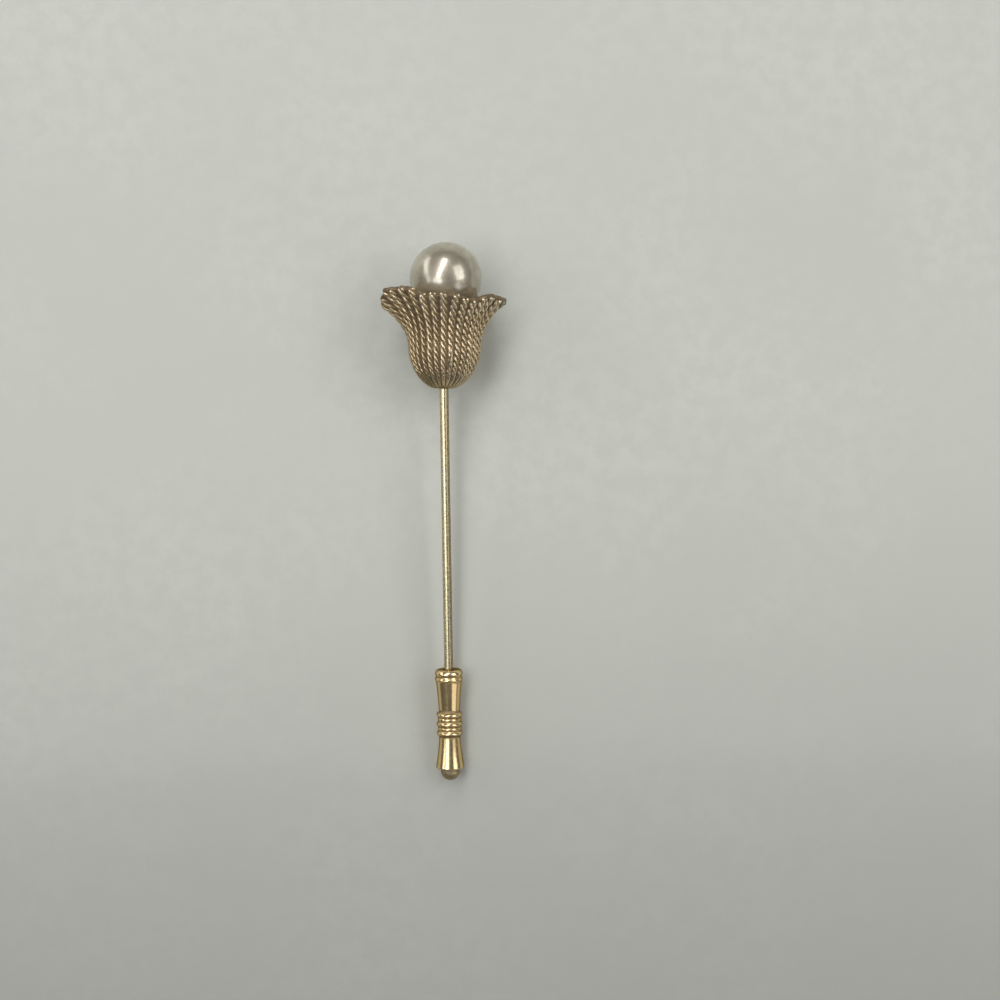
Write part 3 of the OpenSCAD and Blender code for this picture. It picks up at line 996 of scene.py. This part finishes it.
def pearl_surface(cup, pearl):
    """A sphere on the leant axis, as a half circle turned round it. It sinks by shallow dents,
    a sum of sines of the direction, and by the chips, which are round with ragged borders."""
    around = 144
    rows = 110
    polar = np.linspace(0, np.pi, rows)
    ball = turn_profile(np.sin(polar), -np.cos(polar), around)
    dents = waves(ball, PEARL_DENTS)
    ragged = waves(ball, CHIP_BORDERS)
    chip = np.zeros(len(ball))
    for way, size, share in CHIPS:
        way = np.array(way) / np.linalg.norm(way)
        angle = np.arccos(np.clip(ball @ way, -1, 1)) * (1 + 0.45 * ragged)
        chip = np.maximum(chip, share * smooth_step(-angle, -size, -0.72 * size))
    sunk = pearl.dent * (0.5 - 0.5 * dents) + pearl.chip * chip
    centre = np.array([0, 0, cup.cup_h + pearl.pearl_rise])
    radius = pearl.pearl_d / 2 - sunk
    return centre + radius[:, None] * ball, tube_faces(rows - 2, around), {"chip": chip}


class STICKPIN_OT_pearl(bpy.types.Operator):
    """Make the pearl with its chipped lacquer"""

    bl_idname = "stick_pin.pearl"
    bl_label = "Pearl"

    def execute(self, context):
        scene = context.scene
        cup = sizes_of(scene.stick_pin_cup)
        points, faces, masks = pearl_surface(cup, sizes_of(scene.stick_pin_pearl))
        points = lie_down(points, cup.head_lean)
        material = pearl_lacquer(scene.stick_pin_finishes)
        new_piece("pearl_ball", points, faces, material, PIN, ["pearl"], masks)
        return {"FINISHED"}


# The stem wire

# Fine dings: each a sine's way, in turns of a radian per millimetre, and its start
WIRE_DINGS = [
    ((2.2, 1.1, 1.9), 0.3), ((-1.7, 2.3, 3.3), 1.1), ((2.9, -1.4, 5.1), 2.7),
    ((1.3, 2.6, 9.7), 0.6), ((-3.1, 1.9, 14.3), 1.8),
]


def wire_surface(wire):
    """The stem wire as a profile turned round the axis: the point, the long grind, the plain
    wire and a small fillet of solder against the cup. Fine dings sink it by a sum of sines.
    The mask ground is 1 on the point and the grind, and the mask of painted shade is 1 along the
    right side."""
    around = 48
    mouth = -wire.stem_l
    heights = [mouth - wire.point_l, mouth - wire.point_l / 2, mouth]
    radii = [0.0, wire.grind_d / 2, wire.stem_d / 2]
    z = np.concatenate([
        heights[0] + np.array([0, 0.02, 0.06, 0.14, 0.3]),
        np.linspace(heights[0] + 0.5, heights[2], 90),
        np.linspace(heights[2] + 0.05, -END_GAP - 0.02, 420),
        [-END_GAP, -END_GAP],
    ])
    r = np.interp(z, heights, radii)
    r[0], r[-1] = 0, 0
    r[-2] = wire.stem_d / 2 - 0.03
    points = turn_profile(r, z, around)
    sink(points, wire.wave, WIRE_DINGS, least=0.1)
    ground = smooth_step(-z, -(mouth - 0.3), -(mouth - 0.9))
    a = np.degrees(np.arctan2(points[:, 0], -points[:, 1]))
    # Painted shade: a band along the wire's right side
    toned_and_shaded = smooth_step(a, 6, 20) * smooth_step(-a, -110, -70)
    masks = {"ground": on_rings(ground, around), "toned_and_shaded": toned_and_shaded}
    return points, tube_faces(len(z) - 2, around), masks


def post_surface(cup, pearl, wire):
    """The thinner post that runs up through the cup's hole into the pearl, as a plain turned
    profile with eased ends."""
    around = 32
    radius = wire.post_d / 2
    top = cup.cup_h + pearl.pearl_rise + wire.post_reach
    z = np.concatenate([[-0.3, -0.3], np.linspace(-0.25, top - 0.1, 12), [top - 0.03, top, top]])
    r = np.full(len(z), radius)
    r[[0, -1]] = 0
    r[-2] = radius - 0.08
    return turn_profile(r, z, around), tube_faces(len(z) - 2, around)


class STICKPIN_OT_stem(bpy.types.Operator):
    """Make the stem wire with its ground point, and the post inside the head"""

    bl_idname = "stick_pin.stem"
    bl_label = "Stem wire"

    def execute(self, context):
        scene = context.scene
        cup = sizes_of(scene.stick_pin_cup)
        pearl = sizes_of(scene.stick_pin_pearl)
        wire = sizes_of(scene.stick_pin_wire)
        material = wire_plating(scene.stick_pin_finishes)
        points, faces, masks = wire_surface(wire)
        new_piece("stem_wire", lie_down(points), faces, material, PIN, ["stem"], masks)
        points, faces = post_surface(cup, pearl, wire)
        points = lie_down(points, cup.head_lean)
        new_piece("stem_post", points, faces, material, PIN, ["stem"])
        return {"FINISHED"}


# The clutch

# Fine dings, as on the wire
CLUTCH_DINGS = [
    ((1.9, 1.2, 2.1), 0.5), ((-2.4, 1.6, 3.4), 1.4), ((1.1, -2.8, 4.9), 2.3),
    ((3.3, 2.0, -6.1), 0.1), ((-1.5, 3.6, 7.7), 1.0),
]

# Small offsets of the turned outline in millimetres: how far the collar, the groove below it and
# the upper barrel lie inside the bead, how far the bands lie inside the rings, the radius of a
# band, the gap between a barrel and the rings, and how far the barrels' sides are hollowed
COLLAR_INSET = 0.02
GROOVE_INSET = 0.15
BARREL_INSET = 0.12
BAND_INSET = 0.13
BAND_ROUND = 0.3
BARREL_GAP = 0.12
UPPER_HOLLOW = 0.03
LOWER_HOLLOW = 0.06
# Half the angle in degrees that a bead's, ring's or band's arc takes up, and the angle below the
# horizontal at which the collar's arc ends
BEAD_ANGLE = 52
RING_ANGLE = 60
BAND_ANGLE = 45
COLLAR_ANGLE = 5


def arc(centre, radius, start, end, steps=14):
    """Points of an arc in a profile, from one angle in degrees to another."""
    a = np.radians(np.linspace(start, end, steps))
    return np.array(centre) + radius * np.stack([np.cos(a), np.sin(a)], axis=-1)


def barrel(start, end, bend, steps=22):
    """A hollow-sided barrel in a profile: a straight line drawn in by half a sine."""
    t = np.linspace(0, 1, steps)
    line = mix(np.array(start), np.array(end), t[:, None])
    line[:, 0] -= bend * np.sin(np.pi * t)
    return line


def ease_corners(profile, reach):
    """Cuts each corner of a profile back by a quarter of its sides, but no more than reach,
    which turns a sharp corner into a small round one when done twice."""
    ahead = np.roll(profile, -1, axis=0)[:-1]
    here = profile[:-1]
    side = ahead - here
    long = np.linalg.norm(side, axis=-1, keepdims=True)
    cut = np.minimum(0.25 * long, reach) / long * side
    eased = np.stack([here + cut, ahead - cut], axis=1).reshape(-1, 2)
    return np.concatenate([profile[:1], eased[1:-1], profile[-1:]])


def clutch_profile(clutch, wire):
    """The clutch's outline from its round end up to the mouth, and the bore from the mouth down
    to its end. Bead, rings and bands are arcs, and the barrels are drawn in a little. Heights
    are measured down from the mouth. Returns the outline and how many points lie outside."""
    bead_r, ring_r, waist_r = clutch.bead_d / 2, clutch.ring_d / 2, clutch.waist_d / 2
    foot_r, dome_r = clutch.foot_d / 2, clutch.dome_d / 2
    bead_half, ring_half = clutch.bead_w / 2, clutch.ring_w / 2
    foot_round, collar = clutch.foot_round, clutch.collar_round
    foot_top = clutch.foot_z - foot_round
    bead_z, ring_z, pitch = clutch.bead_z, clutch.ring_z, clutch.ring_pitch
    collar_end = collar * (1 + math.sin(math.radians(COLLAR_ANGLE)))
    groove_z = (collar_end + bead_z - bead_half * math.sin(math.radians(BEAD_ANGLE))) / 2
    waist_z = ring_z - ring_half - BARREL_GAP
    lower_z = ring_z + 2 * pitch + ring_half + BARREL_GAP
    rings = []
    for number in range(3):
        z = ring_z + number * pitch
        rings.append(arc([ring_r - ring_half, -z], ring_half, RING_ANGLE, -RING_ANGLE))
        if number < 2:
            middle = [ring_r - BAND_INSET - BAND_ROUND, -z - pitch / 2]
            rings.append(arc(middle, BAND_ROUND, BAND_ANGLE, -BAND_ANGLE))
    outside = np.concatenate([
        [[wire.stem_d / 2 + clutch.gap + 0.05, 0]],
        arc([bead_r - COLLAR_INSET - collar, -collar], collar, 90, -COLLAR_ANGLE),
        [[bead_r - GROOVE_INSET, -groove_z]],
        arc([bead_r - bead_half, -bead_z], bead_half, BEAD_ANGLE, -BEAD_ANGLE),
        barrel([bead_r - BARREL_INSET, -bead_z - bead_half], [waist_r, -waist_z], UPPER_HOLLOW),
        *rings,
        barrel([waist_r, -lower_z], [foot_r, -foot_top], LOWER_HOLLOW),
        arc([foot_r - foot_round, -foot_top], foot_round, 0, -90),
        [[dome_r, -clutch.foot_z]],
        arc([0, dome_r - clutch.clutch_l], dome_r, 0, -90, 26),
    ])
    outside[-1, 0] = 0
    apart = np.linalg.norm(np.diff(outside, axis=0), axis=-1) > 1e-6
    outside = outside[np.append(apart, True)]
    bore_r = wire.stem_d / 2 + clutch.gap
    bore_l = wire.point_l + 4 * END_GAP
    down = np.linspace(0.05, bore_l, 12)
    bore = np.concatenate([
        np.stack([np.full(12, bore_r), -down], axis=-1), [[0, -bore_l]],
    ])
    profile = ease_corners(ease_corners(outside, 0.03), 0.015)[::-1]
    return np.concatenate([profile, bore]), len(profile)


def clutch_surface(clutch, wire):
    """The clutch's outline turned round the wire's axis, sunk by fine dings. The mask crest is
    high where the outline stands out from its own mean nearby, and dulled is 1 on the round
    end."""
    around = 112
    profile, outer = clutch_profile(clutch, wire)
    r, z = profile.T
    # The mean radius within 0.45 mm up and down the outline, weighted by the outline's length
    span = np.abs(z[:outer, None] - z[None, :outer]) < 0.45
    weight = np.gradient(np.cumsum(np.hypot(np.gradient(r[:outer]), np.gradient(z[:outer]))))
    near = (span * weight * r[:outer]).sum(1) / (span * weight).sum(1)
    crest = np.full(len(r), 0.05)
    crest[:outer] = 0.5 + np.clip((r[:outer] - near) / 0.24, -0.5, 0.5)
    dulled = np.zeros(len(r))
    dulled[:outer] = smooth_step(-z[:outer], clutch.foot_z - 0.02, clutch.foot_z + 0.1)
    points = turn_profile(r, z, around)
    sink(points, clutch.wave, CLUTCH_DINGS, least=0.2)
    points[:, 2] -= wire.stem_l
    masks = {"crest": on_rings(crest, around), "dulled": on_rings(dulled, around)}
    return points, tube_faces(len(r) - 2, around), masks


class STICKPIN_OT_clutch(bpy.types.Operator):
    """Make the turned clutch"""

    bl_idname = "stick_pin.clutch"
    bl_label = "Clutch"

    def execute(self, context):
        scene = context.scene
        clutch = sizes_of(scene.stick_pin_clutch)
        wire = sizes_of(scene.stick_pin_wire)
        points, faces, masks = clutch_surface(clutch, wire)
        new_piece(
            "clutch_turned", lie_down(points), faces, turned_gold(scene.stick_pin_finishes),
            CLUTCH, ["clutch"], masks,
        )
        return {"FINISHED"}


# The stage

# Soft strip lights, in metres: name, middle, way of the long side, width, length and
# brightness
LIGHTS = [
    ("top_light", (-0.158, 0.1425, 0.50), (0.183, 0.58, 0.0), 0.15, 0.343, 4.8),
    ("top_end", (-0.233, -0.085, 0.50), (0.183, 0.58, 0.0), 0.28, 0.137, 2.8),
    ("back_light", (-0.047, 0.40, 0.394), (0.095, 0.20, -0.187), 0.15, 0.29, 4.8),
    ("mid_light", (-0.27, -0.10, 0.50), (1.0, 0.0, 0.0), 0.07, 0.68, 0.5),
    ("left_light", (-0.50, 0.233, 0.227), (0.0, -0.82, 0.37), 0.16, 0.82, 2.0),
    ("right_light", (0.344, 0.128, 0.36), (0.20, -0.72, 0.0), 0.26, 0.37, 2.6),
    ("right_low", (0.405, -0.125, 0.36), (0.20, -0.72, 0.0), 0.26, 0.16, 0.4),
    ("right_wall", (0.375, -0.245, 0.25), (0.0, 1.0, 0.0), 0.40, 0.20, 0.9),
    ("near_wall", (0.0, -0.55, 0.52), (1.0, 0.0, 0.0), 0.24, 1.0, 0.3),
    ("ceiling", (0.0, 0.75, 0.90), (1.0, 0.0, 0.0), 1.6, 3.0, 0.12),
]


def table_surface(clutch, wire):
    """The table top, even from side to side. It is level under the pin. Past the clutch's foot
    it falls by the pin's own tilt, so that the clutch still lies on it when it slides off along
    the wire, and past the slide's end it is level again. Both bends are parabolas."""
    half = 0.8
    bend = 6 * MM
    foot = lie_down(np.array([
        0, clutch.foot_d / 2, clutch.foot_round - wire.stem_l - clutch.foot_z,
    ]))
    past = np.concatenate([[-half], np.linspace(0, SLIDE + 3 * bend, 100), [half]])

    def eased(way):
        return np.where(way < bend, way.clip(0) ** 2 / (2 * bend), way - bend / 2)

    y = foot[1] + bend / 2 - past
    z = -math.tan(TILT) * (eased(past) - eased(past - SLIDE - 2 * bend)) - 0.01 * MM * (past > 0)
    x = np.array([-half, half])[:, None]
    points = np.stack(np.broadcast_arrays(x, y, z), axis=-1).reshape(-1, 3)
    left = np.arange(len(past) - 1)
    right = left + len(past)
    return points, np.stack([left, left + 1, right + 1, right], axis=-1)


def aim(place, long_way):
    """The placing of a light that faces the pin, with its long side as near as may be to the
    given way: its own Z points away from the pin, and its Y is the way squared off against Z."""
    back = Vector(place).normalized()
    long_side = Vector(long_way)
    long_side = (long_side - long_side.dot(back) * back).normalized()
    turn = Matrix([long_side.cross(back), long_side, back]).transposed()
    return Matrix.Translation(place) @ turn.to_4x4()


def add_table(scene):
    """The table top, as the stage."""
    points, quads = table_surface(
        sizes_of(scene.stick_pin_clutch), sizes_of(scene.stick_pin_wire),
    )
    mesh = bpy.data.meshes.new("table_top")
    mesh.from_pydata(points, [], quads)
    mesh.shade_smooth()
    mesh.materials.append(table_top(scene.stick_pin_finishes))
    new_object("table_top", mesh)


def add_lights(scene, settings):
    """The strip lights, which the camera doesn't see, and the room's even light."""
    for name, place, long_way, width, long, bright in LIGHTS:
        data = bpy.data.lights.new(name, "AREA")
        data.shape = "RECTANGLE"
        data.size = width
        data.size_y = long
        data.energy = bright * settings.light * math.pi * width * long
        lamp = new_object(name, data)
        lamp.matrix_world = aim(place, long_way)
        lamp.visible_camera = False
    world = bpy.data.worlds.new("room")
    world.use_nodes = True
    background = world.node_tree.nodes["Background"]
    background.inputs["Color"].default_value = opaque(settings.room)
    background.inputs["Strength"].default_value = settings.fill
    scene.world = world
    scene.view_settings.view_transform = "Standard"


def add_camera(scene, settings):
    """The camera straight above the table, with the photo's width of view."""
    lens = bpy.data.cameras.new("camera")
    lens.sensor_width = 36.0
    lens.lens = lens.sensor_width * (settings.camera_z - settings.focus_z) / settings.frame_w
    lens.clip_start = 1 * MM
    lens.clip_end = 10.0
    camera = new_object("camera", lens)
    camera.location = (settings.camera_x, settings.camera_y, settings.camera_z)
    camera.rotation_euler = (0, 0, settings.turn)
    scene.camera = camera


class STICKPIN_OT_stage(bpy.types.Operator):
    """Make the table top, the soft lights and the camera"""

    bl_idname = "stick_pin.stage"
    bl_label = "Stage"

    def execute(self, context):
        scene = context.scene
        settings = scene.stick_pin_stage
        add_table(scene)
        add_lights(scene, settings)
        add_camera(scene, settings)
        return {"FINISHED"}


# The add-on

OPERATORS = [
    STICKPIN_OT_rope_wires,
    STICKPIN_OT_cup_backing,
    STICKPIN_OT_pearl,
    STICKPIN_OT_stem,
    STICKPIN_OT_clutch,
    STICKPIN_OT_stage,
]


class STICKPIN_PT_panel(bpy.types.Panel):
    """Lists the pin's pieces and their sizes"""

    bl_idname = "STICKPIN_PT_panel"
    bl_label = "Stick pin"
    bl_space_type = "VIEW_3D"
    bl_region_type = "UI"
    bl_category = "Stick pin"

    def draw(self, context):
        for operator in OPERATORS:
            self.layout.operator(operator.bl_idname, text=operator.bl_label)
        for name, group in SETTINGS.items():
            box = self.layout.box()
            box.label(text=group.__doc__)
            for value in group.__annotations__:
                box.prop(getattr(context.scene, name), value)


def register():
    """Registers the groups of sizes, the operators and the panel."""
    for name, group in SETTINGS.items():
        bpy.utils.register_class(group)
        setattr(bpy.types.Scene, name, PointerProperty(type=group))
    for made in [*OPERATORS, STICKPIN_PT_panel]:
        bpy.utils.register_class(made)


def unregister():
    """Takes the panel, the operators and the groups of sizes out again."""
    for made in [STICKPIN_PT_panel, *reversed(OPERATORS)]:
        bpy.utils.unregister_class(made)
    for name, group in reversed(SETTINGS.items()):
        delattr(bpy.types.Scene, name)
        bpy.utils.unregister_class(group)


def main():
    """Makes every piece and the stage."""
    register()
    bpy.ops.stick_pin.rope_wires()
    bpy.ops.stick_pin.cup_backing()
    bpy.ops.stick_pin.pearl()
    bpy.ops.stick_pin.stem()
    bpy.ops.stick_pin.clutch()
    bpy.ops.stick_pin.stage()


if __name__ == "__main__":
    main()
